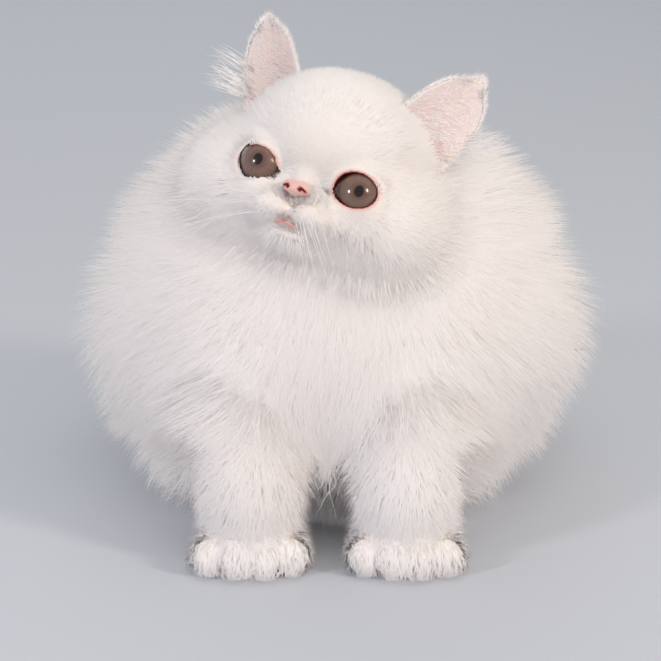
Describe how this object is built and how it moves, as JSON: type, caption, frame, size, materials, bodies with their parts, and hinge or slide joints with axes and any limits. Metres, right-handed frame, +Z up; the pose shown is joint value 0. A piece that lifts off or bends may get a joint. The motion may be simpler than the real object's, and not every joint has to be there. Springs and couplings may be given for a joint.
{
  "type": "persian cat",
  "caption": "Life-size still model of a young long-haired white Persian cat sitting upright with its head turned and looking up.",
  "frame": {"origin": "centre of the bounding box at the floor", "axes": "+Z up, the chest faces -Y, +X towards the cat's left side"},
  "size_m": [0.2468, 0.2646, 0.2309],
  "materials": {
    "coat": "long, fine, soft white hair, matt",
    "ear": "thin pale pink skin with short white hair",
    "nose": "moist pale pink nose leather",
    "eye": "wet clear cornea over a grey-brown iris"
  },
  "bodies": {
    "root": {"eye_right": "eye", "eye_left": "eye", "nose": "nose", "head": "coat", "ear_right": "ear", "ear_left": "ear", "front_leg_right": "coat", "front_leg_left": "coat", "front_paw_right": "coat", "front_paw_left": "coat", "neck": "coat", "chest": "coat", "torso": "coat", "hind_leg_right": "coat", "hind_leg_left": "coat", "hind_paw_right": "coat", "hind_paw_left": "coat", "tail_base": "coat", "tail_tip": "coat"}
  },
  "joints": []
}
